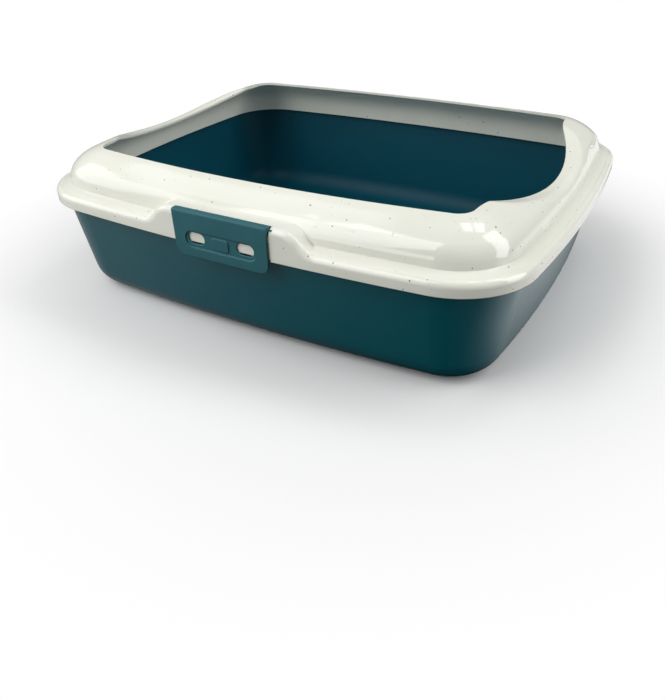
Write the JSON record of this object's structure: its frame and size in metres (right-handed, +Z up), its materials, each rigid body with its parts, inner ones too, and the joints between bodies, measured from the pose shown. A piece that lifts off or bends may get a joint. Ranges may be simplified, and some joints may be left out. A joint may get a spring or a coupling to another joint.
{
  "type": "litter tray",
  "caption": "Open litter tray: a deep tapered basin, a lift-off moulded rim with a scooped opening, and hinged clips that hook under the basin's flange.",
  "frame": {"origin": "centre of the footprint on the floor, under the middle of the basin", "axes": "+X along the long side, +Y across to the rear clip, +Z up"},
  "size_m": [0.4998, 0.407, 0.1402],
  "materials": {
    "tray_plastic": "satin deep blue-green",
    "rim_plastic": "glossy off-white with fine dark flecks",
    "clip_plastic": "satin blue-green"
  },
  "bodies": {
    "tray": {"tray": "tray_plastic"},
    "rim": {"rim": "rim_plastic"},
    "front_clip": {"front_clip": "clip_plastic"},
    "rear_clip": {"rear_clip": "clip_plastic"}
  },
  "joints": [
    {"name": "rim_lift", "type": "slide", "parent": "tray", "child": "rim", "axis": [0, 0, 1], "range_m": [0, 0.1]},
    {"name": "front_clip_hinge", "type": "hinge", "parent": "rim", "child": "front_clip", "pos_m": [0, -0.1983, 0.1218], "axis": [-1, 0, 0], "range_deg": [0, 90]},
    {"name": "rear_clip_hinge", "type": "hinge", "parent": "rim", "child": "rear_clip", "pos_m": [0, 0.1983, 0.1218], "axis": [1, 0, 0], "range_deg": [0, 90]}
  ]
}
